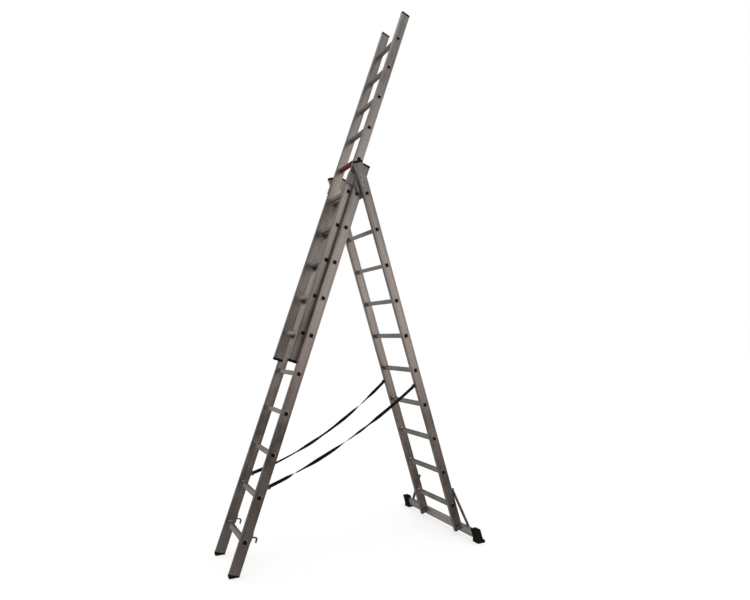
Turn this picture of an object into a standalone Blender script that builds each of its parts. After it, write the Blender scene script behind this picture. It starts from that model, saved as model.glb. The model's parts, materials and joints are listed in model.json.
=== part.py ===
"""Three-section aluminium combination ladder, standing as an A-frame with its third section run out.

Metres, +Z up, the rungs along X. The origin is on the floor, in the middle of the box it stands in.
Each section is built in an axis frame of its own: origin on the hinge line, X along the rungs, Z up the
stiles and Y to the rear. The front section turns on the hinge line, and the top section slides along
its Z.
"""

import math

import bmesh
import bpy
from mathutils import Vector

# Rungs and stiles, the same profiles in all three sections
RUNGS = 10
PITCH = 0.280
RUNG_SIDE = 0.030
RUNG_WALL = 0.0016
STILE_DEPTH = 0.072
STILE_THICK = 0.025
STILE_WALL = 0.0016
STILE_BELOW_FIRST_RUNG = 0.200
STILE_ABOVE_LAST_RUNG = 0.235
GAP = 0.0003

# Outer widths: each section runs between the stiles of the one behind it
REAR_WIDTH = 0.494
FRONT_WIDTH = 0.426
TOP_WIDTH = 0.352

# Hinge and opening. The hinge line lies on the front section's centre plane
OPENING = math.radians(36.1)
SECTION_SPACING = 0.055
FRONT_LAST_RUNG_TO_HINGE = 0.024
REAR_LAST_RUNG_TO_HINGE = 0.0355
HINGE_PLATE_THICK = 0.003
HINGE_PLATE_ABOVE = 0.120
HINGE_PLATE_BELOW = 0.015
HINGE_PLATE_NOSE = 0.060
HINGE_PLATE_INSET = 0.006
PIN_RADIUS = 0.005
PIN_CLEARANCE = 0.0004
PIN_HEAD_RADIUS = 0.008
PIN_HEAD_THICK = 0.004
ROUND_SIDES = 24

# The top section is run out by five rungs, and its hooks rest on a rung of the front section
RUN_OUT_RUNGS = 5
TOP_RUNG_LEAD = 0.0024
RED_RUNG = ("top", 6)

# End caps and the front section's feet
CAP_LIP = 0.0005
CAP_HEIGHT = 0.0180
CAP_EDGE = 0.0025
CAP_PLUG = 0.020
GUIDE_LUG_HEIGHT = 0.055
GUIDE_CLEARANCE = 0.0008
FOOT_DROP = 0.019
FOOT_PLUG = 0.030

# Stabiliser across the foot of the rear section
BAR_HEIGHT = 0.066
BAR_THICK = 0.028
BAR_WALL = 0.002
BAR_BELOW_STILE_END = 0.025
BAR_BEHIND_STILE = 0.0015
BAR_HALF_LENGTH = 0.490
BAR_SHIFT = -0.045
BAR_RIBS = 5
BAR_GROOVE = 0.001
BOOT_DROP = 0.052
BOOT_LENGTH = 0.060
BOOT_DEPTH = 0.056
BOOT_HEIGHT = 0.104
BOOT_EDGE = 0.004
BOOT_SOLE_LENGTH = 0.068
BOOT_SOLE_DEPTH = 0.074
BOOT_SOLE_HEIGHT = 0.016
BOOT_WAIST = 0.032
BOOT_CORNER = 0.005
BOOT_OVERHANG = 0.025
BRACE_WIDTH = 0.020
BRACE_THICK = 0.013
BRACE_RISE = 0.310
BRACE_FEET = {"right": 0.375, "left": 0.435}
BRACE_END_POINTS = 6

# Rung hooks, bent from flat steel
HOOK_WIDTH = 0.021
HOOK_PLATE_THICK = 0.003
HOOK_ARM_THICK = 0.005
HOOK_PLATE_ABOVE_SEAT = 0.030
HOOK_PLATE_BELOW_SEAT = 0.026
HOOK_NOSE = 0.028
HOOK_PLAY = 0.0015
HOOK_INNER_BEND = 0.0015
FRONT_HOOK_SEAT = 0.034
BEND_POINTS = 4

# Spreader straps, flat webbing between the front and rear stiles
STRAP_WIDTH = 0.025
STRAP_THICK = 0.0016
STRAP_OFF_STILE = 0.0035
STRAP_FRONT_ABOVE_FIRST_RUNG = 0.356
STRAP_REAR_ABOVE_FIRST_RUNG = 1.010
STRAP_SAGS = {"right": 0.060, "left": 0.088}
STRAP_POINTS = 34

SIDES = {"right": 1, "left": -1}
RUNG_SPAN = (RUNGS - 1) * PITCH


# --- materials and objects ----------------------------------------------------------------------------


def material(name, colour, roughness, metallic=0.0):
    made = bpy.data.materials.new(name)
    made.use_nodes = True
    shader = made.node_tree.nodes["Principled BSDF"]
    shader.inputs["Base Color"].default_value = (*colour, 1)
    shader.inputs["Roughness"].default_value = roughness
    shader.inputs["Metallic"].default_value = metallic
    return made


def empty(name, parent=None, location=(0, 0, 0), tilt=0.0):
    made = bpy.data.objects.new(name, None)
    bpy.context.collection.objects.link(made)
    made.parent = parent
    made.location = location
    made.rotation_euler.x = tilt
    return made


def piece(name, bm, finish, parent, location=(0, 0, 0), tilt=0.0):
    bmesh.ops.remove_doubles(bm, verts=bm.verts, dist=1e-6)
    bmesh.ops.recalc_face_normals(bm, faces=bm.faces)
    mesh = bpy.data.meshes.new(name)
    bm.to_mesh(mesh)
    bm.free()
    mesh.materials.append(finish)
    mesh.shade_smooth()
    mesh.set_sharp_from_angle(angle=math.radians(30))
    made = bpy.data.objects.new(name, mesh)
    bpy.context.collection.objects.link(made)
    made.parent = parent
    made.location = location
    made.rotation_euler.x = tilt
    return made


def tool_shape(name, bm, finish, parent):
    """A shape that only cuts or joins others."""
    made = piece(name, bm, finish, parent)
    made.hide_render = True
    made.display_type = "WIRE"
    return made


def combine(target, tool, operation="DIFFERENCE"):
    modifier = target.modifiers.new(tool.name, "BOOLEAN")
    modifier.operation = operation
    modifier.solver = "EXACT"
    modifier.object = tool


# --- shapes -------------------------------------------------------------------------------------------


def add_stack(bm, rings):
    """A closed body through rings of points, each with the same number, ended by flat faces."""
    loops = [[bm.verts.new(point) for point in ring] for ring in rings]
    for low, high in zip(loops, loops[1:]):
        for i in range(len(low)):
            j = (i + 1) % len(low)
            bm.faces.new((low[i], low[j], high[j], high[i]))
    bm.faces.new(list(reversed(loops[0])))
    bm.faces.new(loops[-1])
    return bm


def stack(rings):
    return add_stack(bmesh.new(), rings)


def rectangle(x, y, z, width, depth):
    half_w, half_d = width / 2, depth / 2
    corners = ((-half_w, -half_d), (half_w, -half_d), (half_w, half_d), (-half_w, half_d))
    return [(x + dx, y + dy, z) for dx, dy in corners]


def cut_corner_rectangle(x, y, z, width, depth, corner):
    """A rectangle with its four corners cut off."""
    w, d, c = width / 2, depth / 2, corner
    front = ((-w, -d + c), (-w + c, -d), (w - c, -d), (w, -d + c))
    rear = ((w, d - c), (w - c, d), (-w + c, d), (-w, d - c))
    return [(x + dx, y + dy, z) for dx, dy in front + rear]


def add_box(bm, x, y, z):
    """A box between the two ends given for each axis."""
    width, depth = x[1] - x[0], y[1] - y[0]
    middle_x, middle_y = (x[0] + x[1]) / 2, (y[0] + y[1]) / 2
    return add_stack(bm, [rectangle(middle_x, middle_y, height, width, depth) for height in z])


def add_prism(bm, outline, x0, x1):
    """A side outline of (y, z) points, drawn out along X."""
    return add_stack(bm, [[(x, y, z) for y, z in outline] for x in (x0, x1)])


def add_turned(bm, y, z, steps):
    """Turned about a line along X through (y, z): steps are (x, radius) pairs."""
    angles = [2 * math.pi * i / ROUND_SIDES for i in range(ROUND_SIDES)]
    rings = [[(x, y + r * math.cos(a), z + r * math.sin(a)) for a in angles] for x, r in steps]
    return add_stack(bm, rings)


def arc(centre_y, centre_z, radius, start, end, points):
    """Points on an arc in the YZ plane, its angles in degrees from +Y."""
    angles = [math.radians(start + (end - start) * i / (points - 1)) for i in range(points)]
    return [(centre_y + radius * math.cos(a), centre_z + radius * math.sin(a)) for a in angles]


def tube(outer, inner):
    """An open-ended tube: two outer and two inner rings, joined at their ends."""
    bm = bmesh.new()
    rings = (outer[0], outer[1], inner[1], inner[0])
    loops = [[bm.verts.new(point) for point in ring] for ring in rings]
    for a, b in zip(loops, loops[1:] + loops[:1]):
        for i in range(len(a)):
            j = (i + 1) % len(a)
            bm.faces.new((a[i], a[j], b[j], b[i]))
    return bm


# --- parts of a section -------------------------------------------------------------------------------


class Section:
    """One ladder section: its place in its axis frame, and its pieces."""

    def __init__(self, name, frame, width, centre_y, last_rung_z):
        self.name = name
        self.frame = frame
        self.width = width
        self.y = centre_y
        self.first_rung = last_rung_z - RUNG_SPAN
        self.last_rung = last_rung_z
        self.bottom = self.first_rung - STILE_BELOW_FIRST_RUNG
        self.top = last_rung_z + STILE_ABOVE_LAST_RUNG
        self.stile_x = (width - STILE_THICK) / 2

    def build(self, finishes):
        """Stiles with their rung holes, and the rungs through them."""
        holes = bmesh.new()
        hole_half = RUNG_SIDE / 2 + GAP
        for i in range(RUNGS):
            z = self.first_rung + i * PITCH
            y_ends = (self.y - hole_half, self.y + hole_half)
            add_box(holes, (-self.width, self.width), y_ends, (z - hole_half, z + hole_half))
        self.holes = tool_shape(self.name + "_rung_holes", holes, finishes["aluminium"], self.frame)
        self.stiles = {side: self.stile(side, sign, finishes) for side, sign in SIDES.items()}
        for i in range(RUNGS):
            self.rung(i + 1, finishes)

    def stile(self, side, sign, finishes):
        x = sign * self.stile_x
        ends = (self.bottom, self.top)
        wall = 2 * STILE_WALL
        outer = [rectangle(x, self.y, z, STILE_THICK, STILE_DEPTH) for z in ends]
        inner = [rectangle(x, self.y, z, STILE_THICK - wall, STILE_DEPTH - wall) for z in ends]
        made = piece(f"{self.name}_stile_{side}", tube(outer, inner), finishes["aluminium"], self.frame)
        combine(made, self.holes)
        return made

    def rung(self, number, finishes):
        z = self.first_rung + (number - 1) * PITCH
        finish = finishes["red" if (self.name, number) == RED_RUNG else "aluminium"]
        half = self.width / 2
        corners = ((-1, -1), (1, -1), (1, 1), (-1, 1))

        def ring(x, side):
            return [(x, self.y + a * side / 2, z + b * side / 2) for a, b in corners]

        outer = [ring(x, RUNG_SIDE) for x in (-half, half)]
        inner = [ring(x, RUNG_SIDE - 2 * RUNG_WALL) for x in (-half, half)]
        piece(f"{self.name}_rung_{number:02d}", tube(outer, inner), finish, self.frame)

    def cap(self, side, sign, end, finishes):
        """A moulded cap on a stile's end, with the plug that holds it."""
        x = sign * self.stile_x
        way, base = (1, self.top) if end == "top" else (-1, self.bottom)
        wall = 2 * (STILE_WALL + GAP)
        plug = (STILE_THICK - wall, STILE_DEPTH - wall)
        lip = (STILE_THICK + 2 * CAP_LIP, STILE_DEPTH + 2 * CAP_LIP)
        crown = (lip[0] - 2 * CAP_EDGE, lip[1] - 2 * CAP_EDGE)
        heights = (-CAP_PLUG, GAP, GAP, CAP_HEIGHT - CAP_EDGE, CAP_HEIGHT)
        sizes = (plug, plug, lip, lip, crown)
        bm = stack([rectangle(x, self.y, base + way * h, *size) for h, size in zip(heights, sizes)])
        return piece(f"{self.name}_{end}_cap_{side}", bm, finishes["plastic"], self.frame)

    def add_guide_lug(self, cap, sign, width, finishes):
        """A lug on a top cap, down the stile's inner face, that guides the next section's stile."""
        inner_face = self.width / 2 - STILE_THICK - GAP
        lug_x = sorted((sign * inner_face, sign * (inner_face - width)))
        bridge_x = sorted((sign * (inner_face - width), sign * self.stile_x))
        front = self.y - STILE_DEPTH / 2
        y_ends = (front, front + STILE_DEPTH - SECTION_SPACING)
        shoulder = self.top + CAP_HEIGHT - CAP_EDGE
        blocks = {
            "bridge": (bridge_x, (self.top + 2 * GAP, shoulder - GAP)),
            "lug": (lug_x, (self.top - GUIDE_LUG_HEIGHT, shoulder)),
        }
        for name, (x_ends, z_ends) in blocks.items():
            block = add_box(bmesh.new(), x_ends, y_ends, z_ends)
            tool = tool_shape(f"{cap.name}_{name}", block, finishes["plastic"], self.frame)
            combine(cap, tool, "UNION")

    def hook(self, side, sign, seat, finishes):
        """A steel hook for the rungs of the section behind; seat is its height over the first rung."""
        x = sign * self.stile_x
        z = self.first_rung + seat
        stile_rear = self.y + STILE_DEPTH / 2 + GAP
        plate_rear = stile_rear + HOOK_PLATE_THICK
        nose_front = self.y + SECTION_SPACING + RUNG_SIDE / 2 + HOOK_PLAY
        nose_rear = nose_front + HOOK_ARM_THICK
        inner_bend_y = nose_front - HOOK_INNER_BEND
        outer_bend = HOOK_INNER_BEND + HOOK_ARM_THICK
        outline = [
            (stile_rear, z - HOOK_PLATE_BELOW_SEAT),
            (plate_rear, z - HOOK_PLATE_BELOW_SEAT),
            (plate_rear, z),
            *arc(inner_bend_y, z - HOOK_INNER_BEND, HOOK_INNER_BEND, 90, 0, BEND_POINTS),
            (nose_front, z - HOOK_NOSE),
            (nose_rear, z - HOOK_NOSE),
            *arc(inner_bend_y, z - HOOK_INNER_BEND, outer_bend, 0, 90, BEND_POINTS + 1),
            (plate_rear, z + HOOK_ARM_THICK),
            (plate_rear, z + HOOK_PLATE_ABOVE_SEAT),
            (stile_rear, z + HOOK_PLATE_ABOVE_SEAT),
        ]
        bm = add_prism(bmesh.new(), outline, x - HOOK_WIDTH / 2, x + HOOK_WIDTH / 2)
        piece(f"{self.name}_rung_hook_{side}", bm, finishes["steel"], self.frame)


# --- the front section's feet -------------------------------------------------------------------------


def add_foot(section, side, sign, tilt, finishes):
    """A rubber foot, plugged into the stile and cut level with the floor."""
    x = sign * section.stile_x
    wall = 2 * (STILE_WALL + GAP)
    plug = (STILE_THICK - wall, STILE_DEPTH - wall)
    body = (STILE_THICK + 2 * CAP_LIP, STILE_DEPTH + 2 * CAP_LIP)
    # height from the stile's end, outline, and how far the outline is drawn in there
    profile = (
        (FOOT_PLUG, plug, 0.0),
        (-GAP, plug, 0.0),
        (-GAP, body, 0.0),
        (-0.009, body, 0.0),
        (-0.017, body, 0.003),
        (-0.024, body, 0.009),
        (-0.029, body, 0.017),
        (-0.032, body, 0.026),
    )
    rings = [
        rectangle(x, section.y, section.bottom + h, size[0] - inset / 4, size[1] - 2 * inset)
        for h, size, inset in profile
    ]
    bm = stack(rings)
    level_with_floor(bm, (x, section.y, section.bottom - FOOT_DROP), tilt)
    return piece(f"{section.name}_foot_{side}", bm, finishes["rubber"], section.frame)


def level_with_floor(bm, point, tilt):
    """Cuts away what lies under the floor plane through a point of a frame that is tilted about X."""
    up = Vector((0, math.sin(tilt), math.cos(tilt)))
    parts = list(bm.verts) + list(bm.edges) + list(bm.faces)
    cut = bmesh.ops.bisect_plane(bm, geom=parts, plane_co=point, plane_no=up, clear_inner=True)
    rim = [item for item in cut["geom_cut"] if isinstance(item, bmesh.types.BMEdge)]
    bmesh.ops.contextual_create(bm, geom=rim)


# --- the rear section's stabiliser and hinge ----------------------------------------------------------


def bar_outline(section, grow=0.0):
    """The stabiliser bar's front and rear faces and its lower and upper edges, in the rear frame."""
    rear = section.y + STILE_DEPTH / 2 + BAR_BEHIND_STILE
    low = section.bottom - BAR_BELOW_STILE_END
    return (rear - BAR_THICK - grow, rear + grow), (low - grow, low + BAR_HEIGHT + grow)


def add_bar(section, finishes):
    """The ribbed hollow bar: grooves run its length on the front and the rear face."""
    (front, rear), (low, high) = bar_outline(section)
    rib = BAR_HEIGHT / BAR_RIBS
    half_groove = rib / 8
    levels = [low + rib * i for i in range(1, BAR_RIBS)]
    outline = [(front, low), (rear, low)]
    for z in levels:
        outline += [(rear, z - half_groove), (rear - BAR_GROOVE, z), (rear, z + half_groove)]
    outline += [(rear, high), (front, high)]
    for z in reversed(levels):
        outline += [(front, z + half_groove), (front + BAR_GROOVE, z), (front, z - half_groove)]
    bar = piece(
        "stabiliser_bar",
        add_prism(bmesh.new(), outline, BAR_SHIFT - BAR_HALF_LENGTH, BAR_SHIFT + BAR_HALF_LENGTH),
        finishes["aluminium"],
        section.frame,
    )
    (front, rear), (low, high) = bar_outline(section, grow=-BAR_WALL - BAR_GROOVE)
    bore = bmesh.new()
    add_box(bore, (-2 * BAR_HALF_LENGTH, 2 * BAR_HALF_LENGTH), (front, rear), (low, high))
    combine(bar, tool_shape("stabiliser_bore", bore, finishes["aluminium"], section.frame))


def add_bar_seat(section, finishes):
    """The notch in each rear stile that the stabiliser bar lies in, a little larger than the bar."""
    (front, rear), (low, high) = bar_outline(section, grow=GAP)
    seat = bmesh.new()
    add_box(seat, (-REAR_WIDTH, REAR_WIDTH), (front, rear + BAR_THICK), (low - BAR_HEIGHT, high))
    cutter = tool_shape("stabiliser_seat", seat, finishes["aluminium"], section.frame)
    for stile in section.stiles.values():
        combine(stile, cutter)


def add_boot(section, side, sign, tilt, finishes):
    """A moulded boot over the end of the stabiliser bar, with a flared sole that stands level."""
    (front, rear), _ = bar_outline(section)
    middle_y = (front + rear) / 2
    lean = math.tan(tilt)
    centre = BAR_HALF_LENGTH + BOOT_OVERHANG - BOOT_LENGTH / 2
    sole = (BOOT_SOLE_LENGTH, BOOT_SOLE_DEPTH)
    block = (BOOT_LENGTH, BOOT_DEPTH)
    # height, outline, and how far its edge is drawn in
    levels = (
        (0.0, sole, BOOT_EDGE),
        (BOOT_EDGE, sole, 0.0),
        (BOOT_SOLE_HEIGHT, sole, 0.0),
        (BOOT_WAIST, block, 0.0),
        (BOOT_HEIGHT - BOOT_EDGE, block, 0.0),
        (BOOT_HEIGHT, block, BOOT_EDGE),
    )
    rings = []
    for z, (length, depth), inset in levels:
        follow = -lean * z if z >= BOOT_WAIST else 0.0
        outline = (length - 2 * inset, depth - 2 * inset)
        rings.append(cut_corner_rectangle(0, follow, z, *outline, BOOT_CORNER))
    place = (BAR_SHIFT + sign * centre, middle_y, section.bottom - BOOT_DROP)
    name = f"stabiliser_boot_{side}"
    boot = piece(name, stack(rings), finishes["rubber"], section.frame, place, -tilt)
    (front, rear), (low, high) = bar_outline(section, grow=GAP)
    pocket = bmesh.new()
    pocket_x = sorted((0.0, BAR_SHIFT + sign * (BAR_HALF_LENGTH + GAP)))
    add_box(pocket, pocket_x, (front, rear), (low, high))
    combine(boot, tool_shape(f"boot_pocket_{side}", pocket, finishes["rubber"], section.frame))


def add_brace(section, side, sign, finishes):
    """A flat diagonal brace behind the stile, from its rear edge down to the stabiliser bar."""
    (_, rear), (low, high) = bar_outline(section)
    upper = Vector((sign * section.stile_x, section.bottom + BRACE_RISE))
    lower = Vector((BAR_SHIFT + sign * BRACE_FEET[side], (low + high) / 2))
    along = (upper - lower).normalized()
    across = Vector((-along.y, along.x)) * BRACE_WIDTH / 2
    start = math.atan2(across.y, across.x)
    turns = [start + math.pi * i / BRACE_END_POINTS for i in range(BRACE_END_POINTS + 1)]
    round_end = [Vector((math.cos(a), math.sin(a))) * BRACE_WIDTH / 2 for a in turns]
    outline = [upper - offset for offset in round_end] + [lower + offset for offset in round_end]
    y0 = rear + GAP
    bm = stack([[(point.x, y, point.y) for point in outline] for y in (y0, y0 + BRACE_THICK)])
    piece(f"stabiliser_brace_{side}", bm, finishes["steel"], section.frame)


def add_hinge(section, side, sign, finishes):
    """A steel plate on the rear stile's inner face, and the pin that carries the front stile."""
    outer_x = section.width / 2 - STILE_THICK - GAP
    inner_x = outer_x - HINGE_PLATE_THICK
    plate_rear = section.y + STILE_DEPTH / 2 - HINGE_PLATE_INSET
    stile_front = section.y - STILE_DEPTH / 2
    outline = [
        *arc(0, 0, HINGE_PLATE_BELOW, 180, 270, BEND_POINTS + 2),
        (plate_rear, -HINGE_PLATE_BELOW),
        (plate_rear, HINGE_PLATE_ABOVE),
        (stile_front, HINGE_PLATE_ABOVE),
        (-HINGE_PLATE_BELOW, HINGE_PLATE_NOSE),
    ]
    plate_x = sorted((sign * outer_x, sign * inner_x))
    bm = add_prism(bmesh.new(), outline, *plate_x)
    plate = piece(f"hinge_plate_{side}", bm, finishes["steel"], section.frame)
    head_x = FRONT_WIDTH / 2 - STILE_THICK - GAP
    steps = (
        (head_x - PIN_HEAD_THICK, PIN_HEAD_RADIUS),
        (head_x, PIN_HEAD_RADIUS),
        (head_x, PIN_RADIUS),
        (FRONT_WIDTH / 2 + GAP, PIN_RADIUS),
        (FRONT_WIDTH / 2 + GAP, PIN_HEAD_RADIUS),
        (inner_x + HINGE_PLATE_THICK / 2, PIN_HEAD_RADIUS),
    )
    pin = add_turned(bmesh.new(), 0, 0, [(sign * x, radius) for x, radius in steps])
    combine(plate, tool_shape(f"hinge_pin_{side}", pin, finishes["steel"], section.frame), "UNION")


def add_pin_hole(section, finishes):
    steps = [(x, PIN_RADIUS + PIN_CLEARANCE) for x in (-REAR_WIDTH, REAR_WIDTH)]
    hole = add_turned(bmesh.new(), 0, 0, steps)
    cutter = tool_shape("hinge_pin_holes", hole, finishes["steel"], section.frame)
    for stile in section.stiles.values():
        combine(stile, cutter)


# --- spreader straps ----------------------------------------------------------------------------------


def strap_route(start, end, sag):
    """A webbing strap's centre line, hanging between its two fixings."""
    points = []
    for i in range(STRAP_POINTS):
        t = i / (STRAP_POINTS - 1)
        point = start.lerp(end, t)
        point.z -= 4 * sag * t * (1 - t)
        points.append(point)
    return points


def add_strap(front, rear, side, sign, finishes, stand):
    start_local = Vector((
        sign * front.stile_x,
        front.y + STILE_DEPTH / 2 + STRAP_OFF_STILE,
        front.first_rung + STRAP_FRONT_ABOVE_FIRST_RUNG,
    ))
    end_local = Vector((
        sign * rear.stile_x,
        rear.y - STILE_DEPTH / 2 - STRAP_OFF_STILE,
        rear.first_rung + STRAP_REAR_ABOVE_FIRST_RUNG,
    ))
    back = stand.matrix_world.inverted()
    start = back @ front.frame.matrix_world @ start_local
    end = back @ rear.frame.matrix_world @ end_local
    route = strap_route(start, end, STRAP_SAGS[side])
    rings = []
    half_width = Vector((STRAP_WIDTH / 2, 0, 0))
    for i, point in enumerate(route):
        ahead = route[min(i + 1, len(route) - 1)] - route[max(i - 1, 0)]
        half_thick = ahead.cross(Vector((1, 0, 0))).normalized() * STRAP_THICK / 2
        lower, upper = point - half_thick, point + half_thick
        rings.append([lower - half_width, lower + half_width, upper + half_width, upper - half_width])
    piece(f"spreader_strap_{side}", stack(rings), finishes["webbing"], stand)


# --- the ladder ---------------------------------------------------------------------------------------


def lean_angles():
    """The rear and front frames' tilts about X that set both pairs of feet on one level floor."""
    front_drop = FRONT_LAST_RUNG_TO_HINGE + RUNG_SPAN + STILE_BELOW_FIRST_RUNG + FOOT_DROP
    rear_drop = REAR_LAST_RUNG_TO_HINGE + RUNG_SPAN + STILE_BELOW_FIRST_RUNG + BOOT_DROP
    rear_offset = SECTION_SPACING + STILE_DEPTH / 2 + BAR_BEHIND_STILE - BAR_THICK / 2
    rear_tilt = math.atan2(
        rear_drop - front_drop * math.cos(OPENING),
        rear_offset + front_drop * math.sin(OPENING),
    )
    front_tilt = rear_tilt - OPENING
    return rear_tilt, front_tilt, front_drop * math.cos(front_tilt)


def centre_on_floor(stand):
    """Moves the whole ladder so that the origin is in the middle of its box, on the floor."""
    bpy.context.view_layer.update()
    depsgraph = bpy.context.evaluated_depsgraph_get()
    corners = []
    for made in bpy.context.scene.objects:
        if made.type == "MESH" and not made.hide_render:
            shape = made.evaluated_get(depsgraph)
            corners += [shape.matrix_world @ Vector(corner) for corner in shape.bound_box]
    for axis in (0, 1):
        ends = [corner[axis] for corner in corners]
        stand.location[axis] = -(min(ends) + max(ends)) / 2


def main():
    for old in list(bpy.data.objects):
        bpy.data.objects.remove(old)
    finishes = {
        "aluminium": material("mill_aluminium", (0.60, 0.58, 0.56), 0.38, 1.0),
        "steel": material("zinc_plated_steel", (0.50, 0.50, 0.50), 0.42, 1.0),
        "plastic": material("black_plastic", (0.02, 0.02, 0.022), 0.45),
        "rubber": material("black_rubber", (0.018, 0.018, 0.018), 0.70),
        "webbing": material("black_webbing", (0.015, 0.015, 0.017), 0.85),
        "red": material("red_plastic", (0.36, 0.02, 0.03), 0.40),
    }
    rear_tilt, front_tilt, hinge_height = lean_angles()
    stand = empty("ladder")
    rear_frame = empty("rear_section_axis", stand, (0, 0, hinge_height), rear_tilt)
    front_frame = empty("front_section_axis", stand, (0, 0, hinge_height), front_tilt)
    top_frame = empty("top_section_axis", front_frame)
    bpy.context.view_layer.update()

    rear = Section("rear", rear_frame, REAR_WIDTH, SECTION_SPACING, -REAR_LAST_RUNG_TO_HINGE)
    front = Section("front", front_frame, FRONT_WIDTH, 0.0, -FRONT_LAST_RUNG_TO_HINGE)
    run_out = RUN_OUT_RUNGS * PITCH + TOP_RUNG_LEAD
    top = Section("top", top_frame, TOP_WIDTH, -SECTION_SPACING, run_out - FRONT_LAST_RUNG_TO_HINGE)
    for section in (rear, front, top):
        section.build(finishes)
    add_bar_seat(rear, finishes)
    add_bar(rear, finishes)
    add_pin_hole(front, finishes)

    lug_width = (FRONT_WIDTH - TOP_WIDTH) / 2 - STILE_THICK - GAP - GUIDE_CLEARANCE
    top_hook_seat = RUNG_SIDE / 2 + GAP - TOP_RUNG_LEAD
    for side, sign in SIDES.items():
        rear.cap(side, sign, "top", finishes)
        front_cap = front.cap(side, sign, "top", finishes)
        front.add_guide_lug(front_cap, sign, lug_width, finishes)
        top.cap(side, sign, "top", finishes)
        top.cap(side, sign, "bottom", finishes)
        front.hook(side, sign, FRONT_HOOK_SEAT, finishes)
        top.hook(side, sign, top_hook_seat, finishes)
        add_foot(front, side, sign, front_tilt, finishes)
        add_boot(rear, side, sign, rear_tilt, finishes)
        add_brace(rear, side, sign, finishes)
        add_hinge(rear, side, sign, finishes)
        add_strap(front, rear, side, sign, finishes, stand)
    centre_on_floor(stand)


main()
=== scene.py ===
"""Looks for the three-section combination ladder: ribbed extrusions, plugs, hooks, rubber and webbing."""

import json
import math

import bmesh
import bpy
from mathutils import Matrix, Vector, noise


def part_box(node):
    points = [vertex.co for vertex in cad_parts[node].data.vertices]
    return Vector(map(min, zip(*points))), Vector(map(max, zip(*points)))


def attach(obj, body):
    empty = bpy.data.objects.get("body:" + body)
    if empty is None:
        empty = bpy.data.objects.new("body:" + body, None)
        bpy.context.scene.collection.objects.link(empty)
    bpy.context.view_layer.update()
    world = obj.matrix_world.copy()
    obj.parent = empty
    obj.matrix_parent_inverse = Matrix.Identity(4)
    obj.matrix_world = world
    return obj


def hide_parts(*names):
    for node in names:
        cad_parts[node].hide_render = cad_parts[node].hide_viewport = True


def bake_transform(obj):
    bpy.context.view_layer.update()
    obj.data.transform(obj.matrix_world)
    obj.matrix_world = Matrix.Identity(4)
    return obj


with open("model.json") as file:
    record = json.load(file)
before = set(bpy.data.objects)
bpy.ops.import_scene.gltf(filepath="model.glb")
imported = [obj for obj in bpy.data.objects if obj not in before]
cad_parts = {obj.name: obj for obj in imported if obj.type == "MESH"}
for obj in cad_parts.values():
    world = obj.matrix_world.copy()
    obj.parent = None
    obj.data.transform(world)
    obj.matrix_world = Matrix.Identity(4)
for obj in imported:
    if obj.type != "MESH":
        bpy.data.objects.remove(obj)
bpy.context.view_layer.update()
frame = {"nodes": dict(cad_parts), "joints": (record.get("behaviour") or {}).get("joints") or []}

SIDES = {"right": 1, "left": -1}
RUNGS = 10
GAP = 0.0003

# Extruded profiles
STILE_CORNER = 0.0028
STILE_GROOVES = (-0.0285, -0.0215, 0.0215, 0.0285)
STILE_EDGE_GROOVES = (-0.006, 0.0, 0.006)
RUNG_SIZE = 0.030
RUNG_CORNER = 0.0028
RUNG_SHORT_OF_STILE = 0.001
RED_RUNG = ("top", 6)
RUNG_GROOVES = (-0.0105, -0.0063, -0.0021, 0.0021, 0.0063, 0.0105)
STILE_GROOVE = (0.0016, 0.0009)
RUNG_GROOVE = (0.0014, 0.0007)
BAR_GROOVE = (0.0034, 0.0016)
END_SOFTEN = 0.0005

# Rung ends
COLLAR = ((0.0020, 0.0205), (-0.0008, 0.0205), (-0.0022, 0.0192), (-0.0042, 0.0170), (-0.0070, 0.0153))
RIM = ((-0.0020, 0.0168), (0.0006, 0.0168), (0.0012, 0.0160))
PLUG = ((-0.0020, 0.0128), (0.0014, 0.0128), (0.0021, 0.0120), (0.0025, 0.0100))

# Straps: the route is the one that the CAD solids follow
STRAP_WIDTH = 0.025
STRAP_THICK = 0.0016
STRAP_OFF_STILE = 0.0035
STRAP_FRONT_ABOVE_FIRST_RUNG = 0.356
STRAP_REAR_ABOVE_FIRST_RUNG = 1.010
STRAP_SAGS = {"right": 0.060, "left": 0.088}
STRAP_RINGS = 150
STRAP_DOUBLED = 0.055
STRAP_EDGE_SHARES = (-0.97, -0.5, 0, 0.5, 0.97)
STRAP_RIPPLE = 0.0007
# share of the way along, and how far the webbing has turned about its own line, in degrees
STRAP_TURNS = {
    "right": ((0, 90), (0.10, 94), (0.19, 180), (0.37, 268), (0.545, 356), (0.59, 380), (0.65, 362),
              (0.76, 438), (0.88, 452), (1, 450)),
    "left": ((0, 90), (0.09, 84), (0.18, 14), (0.30, 4), (0.41, 50), (0.50, 14), (0.57, 22), (0.71, 92),
             (0.83, 178), (0.95, 266), (1, 270)),
}

# Webbing, across and along the band; beyond STITCH_MIRROR the stitching runs back in mirror image
WEFT_PITCH = 0.0021
WARP_PITCH = 0.0014
STITCH_MIRROR = 0.6
STITCH_MIDDLE = 0.028
STITCH_HALF_LENGTH = 0.018
STITCH_HALF_WIDTH = 0.0088
THREAD_HALF_WIDTH = 0.0007

# Strap anchors
ANCHOR_PAD = (0.020, 0.044, 0.004)
ANCHOR_LUG = (0.030, 0.026, 0.006)
ANCHOR_THICK = 0.0022
ANCHOR_RIVET_Z = (-0.017, 0.017)

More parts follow.
